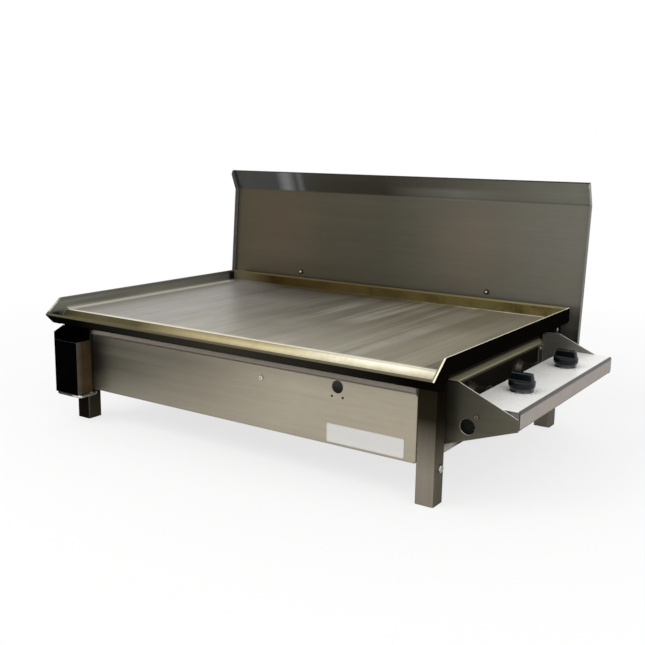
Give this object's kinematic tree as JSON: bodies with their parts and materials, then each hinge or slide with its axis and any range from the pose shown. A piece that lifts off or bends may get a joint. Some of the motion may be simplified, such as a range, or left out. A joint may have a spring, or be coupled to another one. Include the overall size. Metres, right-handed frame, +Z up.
{
  "type": "built-in flat plate barbecue",
  "caption": "Drop-in gas barbecue: folded flat hotplate with front gutter and drain on a legged sheet steel body, leaning splashback, side control box with push-turn knobs, grease can",
  "frame": {"origin": "on the bench in the middle of the four legs' footprint", "axes": "+X to the control box on the right, +Y to the splashback at the back, +Z up"},
  "size_m": [0.7925, 0.5067, 0.4019],
  "materials": {
    "hotplate": "cold rolled plate, drawn grain from front to back, oily smears",
    "skirt_steel": "brushed sheet, satin",
    "leg_steel": "brushed square tube, satin",
    "splash_steel": "brushed sheet, semi bright",
    "strap_steel": "plain zinc plated strip",
    "bright_fastener": "bright plated",
    "burner_steel": "plain tube, heat tinted",
    "white_enamel": "smooth white enamel",
    "rail_steel": "plated tube",
    "brass": "turned brass",
    "valve_alloy": "die cast, tumbled",
    "spring_steel": "plated spring wire",
    "bezel_chrome": "bright, dark reflections",
    "knob_black": "moulded black, satin",
    "cradle_wire": "plated wire",
    "can_black": "black enamel, thin grease film"
  },
  "bodies": {
    "frame": {"hotplate": "hotplate", "front_panel": "skirt_steel", "rear_panel": "skirt_steel", "side_panel_left": "skirt_steel", "side_panel_right": "skirt_steel", "end_plate_front": "skirt_steel", "end_plate_rear": "skirt_steel", "leg_front_left": "leg_steel", "leg_front_right": "leg_steel", "leg_rear_left": "leg_steel", "leg_rear_right": "leg_steel", "splashback": "splash_steel", "strap_left": "strap_steel", "strap_right": "strap_steel", "cross_bar": "strap_steel", "rail_bracket_front": "strap_steel", "rail_bracket_rear": "strap_steel", "leg_bolts": "bright_fastener", "leg_nuts": "bright_fastener", "plate_screws": "bright_fastener", "bar_screws": "bright_fastener", "bracket_screws": "bright_fastener", "splash_screws": "bright_fastener", "splash_nuts": "bright_fastener", "box_rivets": "bright_fastener", "strap_rivets": "bright_fastener", "burner_front": "burner_steel", "burner_rear": "burner_steel", "fascia": "white_enamel", "gas_rail": "rail_steel", "gas_inlet": "brass", "injector_front": "brass", "injector_rear": "brass", "valve_front": "valve_alloy", "valve_rear": "valve_alloy", "spring_front": "spring_steel", "spring_rear": "spring_steel", "bezel_front": "bezel_chrome", "bezel_rear": "bezel_chrome", "can_cradle": "cradle_wire"},
    "push_front": {"thrust_washer_front": "spring_steel"},
    "knob_front": {"knob_front": "knob_black", "spindle_front": "brass"},
    "push_rear": {"thrust_washer_rear": "spring_steel"},
    "knob_rear": {"knob_rear": "knob_black", "spindle_rear": "brass"},
    "can": {"grease_can": "can_black"}
  },
  "joints": [
    {"name": "push_front", "type": "slide", "parent": "frame", "child": "push_front", "axis": [0, 0, -1], "range_m": [0, 0.0035], "stiffness_N_per_m": 1500, "springref_m": -0.004, "deforming": ["spring_front"]},
    {"name": "turn_front", "type": "hinge", "parent": "push_front", "child": "knob_front", "pos_m": [0.3917, -0.093, 0.15], "axis": [0, 0, 1], "range_deg": [0, 180]},
    {"name": "push_rear", "type": "slide", "parent": "frame", "child": "push_rear", "axis": [0, 0, -1], "range_m": [0, 0.0035], "stiffness_N_per_m": 1500, "springref_m": -0.004, "deforming": ["spring_rear"]},
    {"name": "turn_rear", "type": "hinge", "parent": "push_rear", "child": "knob_rear", "pos_m": [0.3917, 0.0785, 0.15], "axis": [0, 0, 1], "range_deg": [0, 180]},
    {"name": "can_slide", "type": "slide", "parent": "frame", "child": "can", "axis": [0, -1, 0], "range_m": [0, 0.12]}
  ]
}
